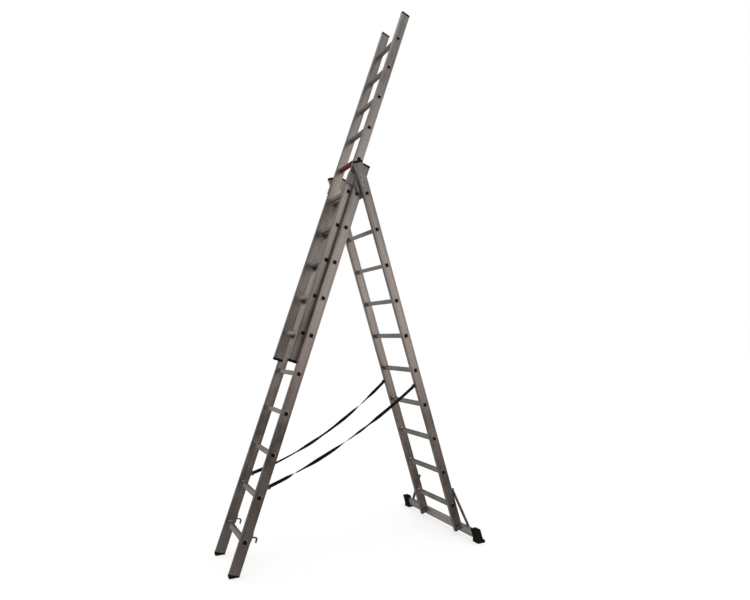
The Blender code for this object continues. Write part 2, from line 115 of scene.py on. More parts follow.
# Fasteners: places from the hook's top, the bar's middle or the hinge, and the radii of the heads
HOOK_RIVETS = ((-0.005, 0.006), (0.005, 0.015))
BOOT_RIVET_Z = (0.012, -0.014)
BRACE_BOLT_RADIUS = 0.0065
BRACE_BOLT_FROM_END = 0.010
BAR_BOLT_RADIUS = 0.0075
HINGE_BOLTS = ((0.040, 0.012), (0.062, 0.052), (0.040, 0.092))
HINGE_BOLT_RADIUS = 0.0055
PIVOT_BOLT_RADIUS = 0.0080
GUIDE_RIVET_Y = -0.012
GUIDE_RIVET_Z = (0.056, 0.106)

# The bent guides on the front section's stiles
GUIDE_THICK = 0.0025
GUIDE_OFF_STILE = 0.0035
GUIDE_LIP = 0.022
GUIDE_MOUNT_END = 0.014
GUIDE_SPAN = (0.036, 0.126)


# --- section frames, as the record's joints say ----------------------------------------------------------

joints = {joint["name"]: joint for joint in frame["joints"]}
hinge_point = Vector(joints["fold"]["pos_m"])
front_up = Vector(joints["top_slide"]["axis"])
front_tilt = -math.atan2(front_up.y, front_up.z)
rear_tilt = front_tilt + math.radians(joints["fold"]["range_deg"][1])


def tilted(angle):
    return Matrix.Translation(hinge_point) @ Matrix.Rotation(angle, 4, "X")


FRAMES = {"rear": tilted(rear_tilt), "front": tilted(front_tilt), "top": tilted(front_tilt)}


def section_of(node):
    head = node.split("_")[0]
    return head if head in FRAMES else "rear"


def local_box(node):
    """A CAD node's lowest and highest corner in its own section's frame."""
    back = FRAMES[section_of(node)].inverted()
    points = [back @ v.co for v in frame["nodes"][node].data.vertices]
    low = Vector([min(p[i] for p in points) for i in range(3)])
    high = Vector([max(p[i] for p in points) for i in range(3)])
    return low, high


# --- materials -------------------------------------------------------------------------------------------


def add_node(tree, kind, inputs=(), **settings):
    """A new node whose inputs are linked, where they are given a socket, or else set."""
    made = tree.nodes.new(kind)
    for key, value in settings.items():
        setattr(made, key, value)
    for key, value in dict(inputs).items():
        if isinstance(value, bpy.types.NodeSocket):
            tree.links.new(value, made.inputs[key])
        else:
            made.inputs[key].default_value = value
    return made


class Shader:
    """A material's node tree, with short calls for the nodes that the finishes here use."""

    def __init__(self, name):
        self.material = bpy.data.materials.new(name)
        self.material.use_nodes = True
        self.tree = self.material.node_tree
        self.out = self.tree.nodes["Principled BSDF"]
        self.coords = self.tree.nodes.new("ShaderNodeTexCoord").outputs["Object"]

    def set(self, **values):
        for key, value in values.items():
            self.out.inputs[key.replace("_", " ")].default_value = value

    def link(self, source, socket):
        self.tree.links.new(source, self.out.inputs[socket])

    def node(self, kind, inputs=(), **settings):
        return add_node(self.tree, kind, inputs, **settings)

    def stretched(self, scale, source=None):
        inputs = {"Vector": source or self.coords, "Scale": scale}
        return self.node("ShaderNodeMapping", inputs).outputs["Vector"]

    def noise(self, vector, scale, detail=4.0, roughness=0.55):
        inputs = {"Vector": vector, "Scale": scale, "Detail": detail, "Roughness": roughness}
        return self.node("ShaderNodeTexNoise", inputs).outputs["Fac"]

    def spread(self, value, low, high, to_low=0.0, to_high=1.0):
        inputs = {"Value": value, "From Min": low, "From Max": high, "To Min": to_low, "To Max": to_high}
        return self.node("ShaderNodeMapRange", inputs, interpolation_type="SMOOTHSTEP").outputs["Result"]

    def math(self, operation, a, b=0.0):
        return self.node("ShaderNodeMath", {0: a, 1: b}, operation=operation).outputs[0]

    def mix(self, share, a, b):
        made = self.node("ShaderNodeMix", data_type="RGBA")
        for index, value in ((0, share), (6, a), (7, b)):
            if isinstance(value, bpy.types.NodeSocket):
                self.tree.links.new(value, made.inputs[index])
            else:
                made.inputs[index].default_value = value if index == 0 else (*value, 1)
        return made.outputs[2]

    def bump(self, height, strength, distance, onto=None):
        inputs = {"Height": height, "Strength": strength, "Distance": distance}
        if onto:
            inputs["Normal"] = onto
        return self.node("ShaderNodeBump", inputs).outputs["Normal"]


def aluminium(name, along, dull, clean, painted_shade_between=None):
    """Mill-finish extrusion: die lines along one axis, cloudy oxide, fine scratches and painted shade that
    darkens it low down.
    """
    s = Shader(name)
    s.set(Metallic=1.0)
    fine = [700.0, 700.0, 700.0]
    fine[along] = 3.0
    broad = [150.0, 150.0, 150.0]
    broad[along] = 1.6
    lines = s.noise(s.stretched(fine), 1.0, 3.0)
    bands = s.noise(s.stretched(broad), 1.0, 3.0)
    clouds = s.noise(s.coords, 7.0, 6.0, 0.62)
    specks = s.noise(s.coords, 260.0, 2.0)
    scuffs = s.spread(s.noise(s.stretched((60.0, 95.0, 24.0)), 1.0, 8.0, 0.7), 0.60, 0.72)
    tones = s.noise(s.coords, 3.2, 3.0)
    colour = s.mix(s.spread(clouds, 0.32, 0.68), dull, clean)
    colour = s.mix(s.spread(bands, 0.52, 0.68, 0.0, 0.75), colour, tuple(1.22 * c for c in clean))
    colour = s.mix(s.spread(bands, 0.46, 0.32, 0.0, 0.55), colour, tuple(0.62 * c for c in dull))
    colour = s.mix(s.spread(tones, 0.50, 0.66, 0.0, 0.40), colour, (0.60, 0.53, 0.51))
    colour = s.mix(s.math("MULTIPLY", scuffs, 0.35), colour, tuple(1.3 * c for c in clean))
    # Painted shade: between the two given heights in the piece's own frame, the colour darkens towards a dull
    # brown. This stands in for dimmer light low down.
    if painted_shade_between is not None:
        height = s.node("ShaderNodeSeparateXYZ", {"Vector": s.coords}).outputs["Z"]
        wavering = s.math("ADD", height, s.spread(clouds, 0.3, 0.7, -0.22, 0.22))
        painted_shade_share = s.spread(wavering, painted_shade_between[1], painted_shade_between[0], 0.0, 0.42)
        colour = s.mix(painted_shade_share, colour, (0.150, 0.118, 0.092))
    s.link(colour, "Base Color")
    rough = s.math("ADD", s.spread(clouds, 0.3, 0.7, 0.30, 0.42), s.spread(lines, 0.3, 0.7, -0.04, 0.06))
    rough = s.math("ADD", rough, s.spread(specks, 0.35, 0.65, -0.02, 0.04))
    s.link(rough, "Roughness")
    normal = s.bump(lines, 0.22, 0.00025)
    s.link(s.bump(scuffs, 0.12, 0.0002, normal), "Normal")
    return s.material


def zinc_steel(name, shade_of=1.0):
    """Zinc-plated sheet: faint crystals, cloudy dulling and small scratches."""
    s = Shader(name)
    s.set(Metallic=1.0)
    cells = s.node("ShaderNodeTexVoronoi", {"Vector": s.coords, "Scale": 160.0}).outputs["Color"]
    shade = s.node("ShaderNodeSeparateColor", {"Color": cells}).outputs[0]
    greys = (0.40, 0.60, 0.27, 0.72)
    dark, light, dulled, bare = (tuple(shade_of * c for c in (grey, grey, grey + 0.01)) for grey in greys)
    clouds = s.noise(s.coords, 22.0, 6.0)
    scratches = s.spread(s.noise(s.stretched((30.0, 420.0, 60.0)), 1.0, 6.0, 0.7), 0.60, 0.70)
    colour = s.mix(s.math("MULTIPLY", shade, 0.35), dark, light)
    colour = s.mix(s.spread(clouds, 0.40, 0.75, 0.0, 0.7), colour, dulled)
    s.link(s.mix(s.math("MULTIPLY", scratches, 0.5), colour, bare), "Base Color")
    s.link(s.spread(clouds, 0.3, 0.7, 0.30, 0.48), "Roughness")
    s.link(s.bump(scratches, 0.15, 0.0002), "Normal")
    return s.material


def moulded(name, dark, worn, rough_low, rough_high, grain, dust=None):
    """Moulded plastic or rubber: a fine grain, scuffed patches and, where it stands, dust."""
    s = Shader(name)
    s.set(Metallic=0.0, Specular_IOR_Level=0.16)
    clouds = s.noise(s.coords, 30.0, 6.0, 0.65)
    scuffs = s.spread(s.noise(s.stretched((190.0, 70.0, 240.0)), 1.0, 6.0, 0.7), 0.56, 0.72)
    colour = s.mix(s.spread(clouds, 0.35, 0.75), dark, worn)
    colour = s.mix(s.math("MULTIPLY", scuffs, 0.45), colour, tuple(2.2 * c for c in worn))
    if dust is not None:
        dusty = s.math("MULTIPLY", s.spread(clouds, 0.42, 0.62), 0.55)
        colour = s.mix(dusty, colour, dust)
    s.link(colour, "Base Color")
    s.link(s.spread(clouds, 0.3, 0.7, rough_low, rough_high), "Roughness")
    height = s.noise(s.coords, grain, 2.0)
    s.link(s.bump(scuffs, 0.1, 0.0002, s.bump(height, 0.30, 0.0003)), "Normal")
    return s.material


def webbing(name):
    """Black polyester webbing: a herringbone weave, firmer edges that are also painted lighter as a sheen,
    and stitched boxes.

    One box is at the front end. The pattern is mirrored at STITCH_MIRROR, so on a strap of 1.3 m the
    other two, back to back, lie short of the rear end and not at it.
    """
    s = Shader(name)
    s.set(Metallic=0.0, Specular_IOR_Level=0.15, Sheen_Weight=0.08, Sheen_Roughness=0.5)
    uv = s.node("ShaderNodeUVMap", uv_map="strap").outputs["UV"]
    parts = s.node("ShaderNodeSeparateXYZ", {"Vector": uv})
    across, along = parts.outputs["X"], parts.outputs["Y"]
    chevron = s.math("ABSOLUTE", s.math("PINGPONG", across, 0.0042))
    diagonal = s.math("ADD", along, s.math("MULTIPLY", chevron, 0.9))
    weft = s.math("SINE", s.math("MULTIPLY", diagonal, 2 * math.pi / WEFT_PITCH))
    warp = s.math("SINE", s.math("MULTIPLY", across, 2 * math.pi / WARP_PITCH))
    weave = s.math("ADD", s.math("MULTIPLY", weft, 0.7), s.math("MULTIPLY", warp, 0.3))
    fuzz = s.noise(s.coords, 900.0, 3.0)
    # Lighter towards both edges: partly the firmer edge weave, partly a painted sheen.
    edge = s.spread(s.math("ABSOLUTE", across), 0.0102, 0.0112, 0.0, 1.0)
    colour = s.mix(s.spread(weave, -0.7, 0.7), (0.0020, 0.0020, 0.0023), (0.0085, 0.0085, 0.0095))
    colour = s.mix(s.math("MULTIPLY", edge, 0.6), colour, (0.012, 0.012, 0.013))
    colour = s.mix(s.spread(fuzz, 0.55, 0.75, 0.0, 0.5), colour, (0.020, 0.019, 0.018))
    inside = s.math("LESS_THAN", s.math("ABSOLUTE", across), 0.0098)
    from_end = s.math("PINGPONG", along, STITCH_MIRROR)
    from_middle = s.math("SUBTRACT", from_end, STITCH_MIDDLE)
    box_side = s.math("GREATER_THAN", s.math("ABSOLUTE", across), STITCH_HALF_WIDTH)
    slope = s.math("MULTIPLY", from_middle, STITCH_HALF_WIDTH / STITCH_HALF_LENGTH)
    off_cross = s.math("SUBTRACT", s.math("ABSOLUTE", across), s.math("ABSOLUTE", slope))
    cross_line = s.math("LESS_THAN", s.math("ABSOLUTE", off_cross), THREAD_HALF_WIDTH)
    before_far_side = s.math("LESS_THAN", from_end, STITCH_MIDDLE + STITCH_HALF_LENGTH)
    past_near_side = s.math("GREATER_THAN", from_end, STITCH_MIDDLE - STITCH_HALF_LENGTH)
    near = s.math("MULTIPLY", before_far_side, past_near_side)
    ends = s.math("GREATER_THAN", s.math("ABSOLUTE", from_middle), STITCH_HALF_LENGTH - 0.001)
    thread = s.math("MAXIMUM", s.math("MAXIMUM", box_side, cross_line), ends)
    thread = s.math("MULTIPLY", s.math("MULTIPLY", thread, near), inside)
    stitch_wave = s.math("SINE", s.math("MULTIPLY", s.math("ADD", along, across), 2200.0))
    dashes = s.math("GREATER_THAN", stitch_wave, -0.5)
    thread = s.math("MULTIPLY", thread, dashes)
    s.link(s.mix(s.math("MULTIPLY", thread, 0.8), colour, (0.045, 0.045, 0.048)), "Base Color")
    s.link(s.spread(fuzz, 0.3, 0.7, 0.72, 0.92), "Roughness")
    height = s.math("ADD", s.math("MULTIPLY", weave, 0.5), s.math("MULTIPLY", thread, 1.2))
    s.link(s.bump(height, 0.7, 0.0004), "Normal")
    return s.material


def red_sleeve(name):
    """Semi-gloss red plastic, a little mottled, with shoe scuffs on it."""
    s = Shader(name)
    s.set(Metallic=0.0, Coat_Weight=0.12, Coat_Roughness=0.25)
    clouds = s.noise(s.coords, 26.0, 5.0)
    scuffs = s.spread(s.noise(s.stretched((22.0, 140.0, 140.0)), 1.0, 8.0, 0.7), 0.58, 0.70)
    colour = s.mix(s.spread(clouds, 0.3, 0.7), (0.115, 0.004, 0.008), (0.18, 0.008, 0.014))
    s.link(s.mix(s.math("MULTIPLY", scuffs, 0.35), colour, (0.30, 0.10, 0.09)), "Base Color")
    s.link(s.spread(clouds, 0.3, 0.7, 0.30, 0.45), "Roughness")
    s.link(s.bump(s.noise(s.stretched((6.0, 500.0, 500.0)), 1.0, 3.0), 0.2, 0.0002), "Normal")
    return s.material


BLACK_PLASTIC = moulded("black_plastic", (0.0020, 0.0020, 0.0022), (0.0060, 0.0060, 0.0065), 0.38, 0.55,
                        1100.0)
BLACK_RUBBER = moulded("black_rubber", (0.0035, 0.0035, 0.0035), (0.010, 0.0095, 0.009), 0.62, 0.85, 700.0,
                       (0.020, 0.018, 0.016))
# Painted shade darkens the stile aluminium towards the bottom, between -2.75 m and -1.10 m in its section's
# frame.
STILE_METAL = aluminium("aluminium_stile", 2, (0.45, 0.42, 0.40), (0.60, 0.57, 0.55), (-2.75, -1.10))
# Painted highlight: the top section's aluminium is the stile aluminium painted lighter, standing in for the
# brighter light on it. The top rims and front guides use it too.
PAINTED_LIGHTER_TOP_STILE_METAL = aluminium("aluminium_top_stile", 2, (0.50, 0.475, 0.455), (0.64, 0.61, 0.59))
RUNG_METAL = aluminium("aluminium_rung", 0, (0.37, 0.37, 0.355), (0.50, 0.495, 0.48))
BAR_METAL = aluminium("aluminium_bar", 0, (0.54, 0.53, 0.51), (0.70, 0.69, 0.67))

# Each finish: its material and the slot that it fills
FINISH = {
    "stile": (STILE_METAL, "aluminium"),
    # The top_stile finish is the painted-lighter copy of the stile aluminium.
    "top_stile": (PAINTED_LIGHTER_TOP_STILE_METAL, "aluminium"),
    "rung": (RUNG_METAL, "aluminium"),
    "bar": (BAR_METAL, "aluminium"),
    "dark_steel": (zinc_steel("dulled_steel", 0.22), "zinc_steel"),
    "worn_steel": (zinc_steel("worn_steel", 0.55), "zinc_steel"),
    "steel": (zinc_steel("zinc_plated_steel"), "zinc_steel"),
    "plastic": (BLACK_PLASTIC, "black_plastic"),
    "rubber": (BLACK_RUBBER, "black_rubber"),
    "webbing": (webbing("black_webbing"), "black_webbing"),
    "red": (red_sleeve("red_plastic"), "red_plastic"),
}


# --- mesh helpers ----------------------------------------------------------------------------------------


def piece(name, bm, section, finish, replaced=(), angle=35.0, place=None):
    """Turns a mesh built in a section's frame, or in place, into a piece that rides on the section's body."""
    bmesh.ops.recalc_face_normals(bm, faces=bm.faces)
    mesh = bpy.data.meshes.new(name)
    bm.to_mesh(mesh)
    bm.free()
    material, slot = FINISH[finish]
    mesh.materials.append(material)
    mesh.shade_smooth()
    mesh.set_sharp_from_angle(angle=math.radians(angle))
    made = bpy.data.objects.new(name, mesh)
    bpy.context.scene.collection.objects.link(made)
    made.matrix_world = FRAMES[section] if place is None else place
    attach(made, section + "_section")
    if replaced:
        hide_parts(*replaced)
    return made


def skin(bm, rings):
    """A closed shell through rings of points, ended by flat faces."""
    loops = [[bm.verts.new(point) for point in ring] for ring in rings]
    for a, b in zip(loops, loops[1:]):
        for i in range(len(a)):
            j = (i + 1) % len(a)
            bm.faces.new((a[i], a[j], b[j], b[i]))
    bm.faces.new(list(reversed(loops[0])))
    bm.faces.new(loops[-1])


def ribbed_outline(width, depth, corner, wide_grooves=(), edge_grooves=(), groove=(0, 0)):
    """A rounded rectangle about the origin, with grooves at the given places on its sides.

    edge_grooves run in the sides of length width, and wide_grooves in those of length depth.
    """
    half_w, half_d = width / 2, depth / 2
    groove_width, groove_depth = groove
    outline = []
    sides = (
        (Vector((1, 0)), Vector((0, -1)), half_w, half_d, edge_grooves),
        (Vector((0, 1)), Vector((1, 0)), half_d, half_w, wide_grooves),
        (Vector((-1, 0)), Vector((0, 1)), half_w, half_d, edge_grooves),
        (Vector((0, -1)), Vector((-1, 0)), half_d, half_w, wide_grooves),
    )
    for along, out, half_along, half_out, grooves in sides:
        for centre in sorted(grooves):
            for offset, deep in ((-0.5, 0.0), (-0.25, 1.0), (0.25, 1.0), (0.5, 0.0)):
                at = centre + offset * groove_width
                outline.append(along * at + out * (half_out - deep * groove_depth))
        pivot = along * (half_along - corner) + out * (half_out - corner)
        for step in range(4):
            turn = math.radians(90 * step / 3)
            outline.append(pivot + out * corner * math.cos(turn) + along * corner * math.sin(turn))
    return outline


def cut_beyond(outline, limit):
    """The part of an outline whose second coordinate is below limit."""
    kept = []
    for i, point in enumerate(outline):
        before = outline[i - 1]
        if (before.y < limit) != (point.y < limit):
            share = (limit - before.y) / (point.y - before.y)
            kept.append(before.lerp(point, share))
        if point.y < limit:
            kept.append(point)
    return kept


def extrusion(bm, outline, place, start, end, soften=END_SOFTEN):
    """Draws an outline out between two stations; its end edges are softened. place(u, v, s) is a point."""
    middle = sum(outline, Vector((0, 0))) / len(outline)

    def ring(station, inset):
        drawn = []
        for point in outline:
            away = point - middle
            drawn.append(place(*(middle + away * (1 - inset / away.length)), station))
        return drawn

    skin(bm, [ring(start, soften), ring(start + soften, 0), ring(end - soften, 0), ring(end, soften)])


def square_outline(half, corner):
    return ribbed_outline(2 * half, 2 * half, corner)


def square_steps(bm, centre, sign, steps, corner):
    """A squared button or collar about a line along X: steps are (distance along X, half width)."""
    rings = []
    for x, half in steps:
        ring = square_outline(half, min(corner, half * 0.8))
        rings.append([centre + Vector((sign * x, p.x, p.y)) for p in ring])
    skin(bm, rings)


def turned(bm, centre, axis, steps, sides=20):
    """A turned shape about an axis: steps are (distance along the axis, radius)."""
    turn = axis.to_track_quat("Z", "Y").to_matrix()
    rings = []
    for along, radius in steps:
        ring = []
        for i in range(sides):
            angle = 2 * math.pi * i / sides
            ring.append(centre + turn @ Vector((radius * math.cos(angle), radius * math.sin(angle), along)))
        rings.append(ring)
    skin(bm, rings)


def rivet(bm, centre, axis, radius, height=0.0018):
    """A domed rivet head whose foot sinks a little into what it holds."""
    dome = [(height * math.sin(a), radius * math.cos(a)) for a in (0.0, 0.4, 0.8, 1.15, 1.4)]
    turned(bm, centre, axis, [(-0.001, radius), *dome])


def bolt(bm, centre, axis, radius):
    """A hexagon bolt head on its washer."""
    base = 0.0015
    washer = [(-0.0008, radius * 1.55), (0.0011, radius * 1.55), (base, radius * 1.45)]
    turned(bm, centre, axis, washer, 28)
    top = base + radius * 0.95
    turned(bm, centre, axis, [(base - 0.001, radius), (top - 0.0007, radius), (top, radius * 0.88)], 6)
    turned(bm, centre, axis, [(base, radius * 0.5), (top, radius * 0.5), (top + 0.0004, radius * 0.4)], 20)


def rounded(name, node, finish, bevel, segments=3, angle=25.0):
    """A CAD node's own shape with its edges rounded over."""
    section = section_of(node)
    bm = bmesh.new()
    bm.from_mesh(frame["nodes"][node].data)
    bmesh.ops.remove_doubles(bm, verts=bm.verts, dist=1e-5)
    bmesh.ops.dissolve_limit(bm, angle_limit=math.radians(1.0), verts=bm.verts, edges=bm.edges)
    sharp = [e for e in bm.edges if len(e.link_faces) == 2 and e.calc_face_angle() > math.radians(angle)]
    bmesh.ops.bevel(bm, geom=sharp, offset=bevel, segments=segments, profile=0.5, affect="EDGES",
                    clamp_overlap=True)
    bmesh.ops.remove_doubles(bm, verts=bm.verts, dist=2e-6)
    return piece(name, bm, section, finish, (node,), 40.0, Matrix.Identity(4))


# --- camera ----------------------------------------------------------------------------------------------

CAMERA_FROM_HINGE = Vector((3.60881, -1.70574, 1.50181))
CAMERA_AZIMUTH, CAMERA_PITCH, CAMERA_ROLL = (math.radians(a) for a in (61.1909, 4.7141, 0.8340))
CAMERA_LENS = 24.767


def add_camera():
    data = bpy.data.cameras.new("camera")
    data.lens = CAMERA_LENS
    data.sensor_width = 36.0
    data.clip_start = 0.05
    data.clip_end = 200.0
    camera = bpy.data.objects.new("camera", data)
    bpy.context.scene.collection.objects.link(camera)
    look = Vector((
        -math.cos(CAMERA_PITCH) * math.sin(CAMERA_AZIMUTH),
        math.cos(CAMERA_PITCH) * math.cos(CAMERA_AZIMUTH),
        math.sin(CAMERA_PITCH),
    ))
    level = Vector((math.cos(CAMERA_AZIMUTH), math.sin(CAMERA_AZIMUTH), 0))
    over = level.cross(look)
    right = level * math.cos(CAMERA_ROLL) + over * math.sin(CAMERA_ROLL)
    up = over * math.cos(CAMERA_ROLL) - level * math.sin(CAMERA_ROLL)
    turn = Matrix((right, up, -look)).transposed().to_4x4()
    over_hinge = Vector((hinge_point.x, hinge_point.y, 0))
    camera.matrix_world = Matrix.Translation(over_hinge + CAMERA_FROM_HINGE) @ turn
    bpy.context.scene.camera = camera


# --- spreader straps -------------------------------------------------------------------------------------


def turn_at(side, share):
    """How far the webbing has turned about its own line there, in radians."""
    keys = STRAP_TURNS[side]
    for (a, low), (b, high) in zip(keys, keys[1:]):
        if share <= b:
            t = (share - a) / (b - a)
            return math.radians(low + (high - low) * t * t * (3 - 2 * t))
    return math.radians(keys[-1][1])


def add_strap(side, sign):
    front_low, front_high = local_box(f"front_stile_{side}")
    rear_low, rear_high = local_box(f"rear_stile_{side}")
    front_rung = sum(local_box("front_rung_01"), Vector()).z / 2
    rear_rung = sum(local_box("rear_rung_01"), Vector()).z / 2
    start = FRAMES["front"] @ Vector((
        (front_low.x + front_high.x) / 2,
        front_high.y + STRAP_OFF_STILE,
        front_rung + STRAP_FRONT_ABOVE_FIRST_RUNG,
    ))
    end = FRAMES["rear"] @ Vector((
        (rear_low.x + rear_high.x) / 2,
        rear_low.y - STRAP_OFF_STILE,
        rear_rung + STRAP_REAR_ABOVE_FIRST_RUNG,
    ))

    def centre(share):
        point = start.lerp(end, share)
        point.z -= 4 * STRAP_SAGS[side] * share * (1 - share)
        return point

    path = [centre(i / 40) for i in range(41)]
    length = sum((b - a).length for a, b in zip(path, path[1:]))
    bm = bmesh.new()
    layer = bm.loops.layers.uv.new("strap")
    half = STRAP_WIDTH / 2
    one_face = [(half * share, 0.5) for share in STRAP_EDGE_SHARES]
    section = [(-half, 0), *one_face, (half, 0), *((-u, -v) for u, v in one_face)]
    rings, marks = [], []
    for i in range(STRAP_RINGS + 1):
        share = i / STRAP_RINGS
        tangent = (centre(min(share + 0.002, 1)) - centre(max(share - 0.002, 0))).normalized()
        level = (Vector((1, 0, 0)) - tangent * tangent.x).normalized()
        upward = tangent.cross(level)
        turn = turn_at(side, share)
        wide = level * math.cos(turn) + upward * math.sin(turn)
        thin = upward * math.cos(turn) - level * math.sin(turn)
        from_end = min(share, 1 - share) * length
        doubled = max(0.0, min(1.0, (STRAP_DOUBLED - from_end) / 0.004))
        thick = STRAP_THICK * (1 + 0.9 * doubled)
        ripple = STRAP_RIPPLE * noise.noise(Vector((share * 16, 3.1 * sign, 0.4))) * (1 - doubled)
        ring = [centre(share) + wide * u + thin * (v * thick + ripple) for u, v in section]
        rings.append([bm.verts.new(point) for point in ring])
        marks.append([(u, share * length) for u, v in section])
    count = len(section)
    for i in range(STRAP_RINGS):
        for k in range(count):
            n = (k + 1) % count
            face = bm.faces.new((rings[i][k], rings[i][n], rings[i + 1][n], rings[i + 1][k]))
            corners = (marks[i][k], marks[i][n], marks[i + 1][n], marks[i + 1][k])
            for loop, (u, v) in zip(face.loops, corners):
                loop[layer].uv = (u, v)
    for ring, mark in ((rings[0], marks[0]), (rings[-1], marks[-1])):
        face = bm.faces.new(ring)
        for loop, (u, v) in zip(face.loops, mark):
            loop[layer].uv = (u, v)
    bmesh.ops.recalc_face_normals(bm, faces=bm.faces)
    mesh = bpy.data.meshes.new(f"strap_{side}")
    bm.to_mesh(mesh)
    bm.free()
    material, slot = FINISH["webbing"]
    mesh.materials.append(material)
    mesh.shade_smooth()
    mesh.set_sharp_from_angle(angle=math.radians(60))
    strap = bpy.data.objects.new(f"strap_{side}", mesh)
    bpy.context.scene.collection.objects.link(strap)
    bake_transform(strap)
    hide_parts(f"spreader_strap_{side}")
    add_strap_anchor(f"strap_anchor_front_{side}", "front", start, 1)
    add_strap_anchor(f"strap_anchor_rear_{side}", "rear", end, -1)


def add_strap_anchor(name, section, point, way):
    """A bent steel tab on the stile's edge, with the rivet that holds the webbing."""
    at = FRAMES[section].inverted() @ point
    base = at.y - way * (STRAP_OFF_STILE - GAP)
    bm = bmesh.new()
    pad = ribbed_outline(*ANCHOR_PAD)
    extrusion(bm, pad, lambda u, v, s: Vector((at.x + u, base + way * s, at.z + v)), 0.0, ANCHOR_THICK)
    lug = ribbed_outline(*ANCHOR_LUG)
    lug_x = at.x - 0.0042

    def on_lug(u, v, s):
        return Vector((lug_x + s, base + way * (0.0105 + u), at.z + v))

    extrusion(bm, lug, on_lug, 0.0, ANCHOR_THICK)
    for z in ANCHOR_RIVET_Z:
        rivet(bm, Vector((at.x, base + way * ANCHOR_THICK, at.z + z)), Vector((0, way, 0)), 0.0028, 0.0013)
    rivet(bm, Vector((lug_x + 0.0056, base + way * 0.014, at.z)), Vector((1, 0, 0)), 0.0045, 0.0016)
    piece(name, bm, section, "steel")


# --- sections --------------------------------------------------------------------------------------------


def add_stiles(section):
    for side in SIDES:
        node = f"{section}_stile_{side}"
        low, high = local_box(node)
        middle = (low + high) / 2
        width, depth = high.x - low.x, high.y - low.y
        outline = ribbed_outline(width, depth, STILE_CORNER, STILE_GROOVES, STILE_EDGE_GROOVES, STILE_GROOVE)

        def place(u, v, s):
            return Vector((middle.x + u, middle.y + v, s))

        bm = bmesh.new()
        bottom = low.z
        if section == "rear":
            bar_low, bar_high = local_box("stabiliser_bar")
            bottom = bar_high.z + GAP
            front_part = cut_beyond(outline, bar_low.y - GAP - middle.y)
            extrusion(bm, front_part, place, low.z, bottom + 0.002)
        extrusion(bm, outline, place, bottom, high.z)
        piece(f"{node}_skin", bm, section, "top_stile" if section == "top" else "stile", (node,))


def add_rungs(section):
    low, high = local_box(f"{section}_stile_right")
    outer, inner = high.x, low.x
    collars, rims, plugs = bmesh.new(), bmesh.new(), bmesh.new()
    reach = outer - RUNG_SHORT_OF_STILE
    outline = ribbed_outline(RUNG_SIZE, RUNG_SIZE, RUNG_CORNER, RUNG_GROOVES, RUNG_GROOVES, RUNG_GROOVE)
    for number in range(1, RUNGS + 1):
        node = f"{section}_rung_{number:02d}"
        low, high = local_box(node)
        middle = (low + high) / 2
        bm = bmesh.new()
        extrusion(bm, outline, lambda u, v, s: Vector((s, middle.y + u, middle.z + v)), -reach, reach)
        red = (section, number) == RED_RUNG
        piece(f"{node}_skin", bm, section, "red" if red else "rung", (node,))
        for sign in SIDES.values():
            at = Vector((sign * inner, middle.y, middle.z))
            square_steps(collars, at, sign, COLLAR, 0.005)
            at = Vector((sign * outer, middle.y, middle.z))
            square_steps(rims, at, sign, RIM, 0.004)
            square_steps(plugs, at, sign, PLUG, 0.003)
    piece(f"{section}_rung_collars", collars, section, "rung")
    piece(f"{section}_rung_rims", rims, section, "top_stile" if section == "top" else "stile")
    piece(f"{section}_rung_plugs", plugs, section, "plastic")


def add_caps():
    for side in SIDES:
        for cap in ("rear_top_cap", "front_top_cap", "top_top_cap", "top_bottom_cap"):
            node = f"{cap}_{side}"
            rounded(f"{node}_skin", node, "plastic", 0.0016)


def add_hooks():
    for section in ("front", "top"):
        for side in SIDES:
            node = f"{section}_rung_hook_{side}"
            rounded(f"{node}_skin", node, "dark_steel", 0.0007, segments=2)
            low, high = local_box(node)
            bm = bmesh.new()
            x = (low.x + high.x) / 2
            for dx, dz in HOOK_RIVETS:
                head = Vector((x + dx, low.y + 0.003, high.z - dz))
                rivet(bm, head, Vector((0, 1, 0)), 0.0032, 0.0014)
            piece(f"{section}_hook_rivets_{side}", bm, section, "steel")


def tread(made, low, high, count, depth):
    """Cuts grooves across the bottom of a foot that is built in place; low and high are its box."""
    cutter = bmesh.new()
    step = (high.y - low.y) / (count + 1)
    for i in range(1, count + 1):
        y = low.y + step * i
        half = step * 0.16
        ring = [(y - half, -0.01), (y + half, -0.01), (y + half * 0.7, depth), (y - half * 0.7, depth)]
        skin(cutter, [[Vector((x, a, b)) for a, b in ring] for x in (low.x - 0.02, high.x + 0.02)])
    mesh = bpy.data.meshes.new("tread")
    bmesh.ops.recalc_face_normals(cutter, faces=cutter.faces)
    cutter.to_mesh(mesh)
    cutter.free()
    tool = bpy.data.objects.new("tread", mesh)
    bpy.context.scene.collection.objects.link(tool)
    modifier = made.modifiers.new("tread", "BOOLEAN")
    modifier.operation = "DIFFERENCE"
    modifier.solver = "EXACT"
    modifier.object = tool
    bpy.context.view_layer.update()
    cut = bpy.data.meshes.new_from_object(made.evaluated_get(bpy.context.evaluated_depsgraph_get()))
    made.modifiers.clear()
    made.data = cut
    cut.set_sharp_from_angle(angle=math.radians(40))
    bpy.data.objects.remove(tool)


def add_feet():
    for side in SIDES:
        node = f"front_foot_{side}"
        made = rounded(f"{node}_skin", node, "rubber", 0.0012, angle=40.0)
        tread(made, *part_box(node), 6, 0.0022)
        node = f"stabiliser_boot_{side}"
        made = rounded(f"{node}_skin", node, "rubber", 0.0016, angle=40.0)
        tread(made, *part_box(node), 7, 0.0025)


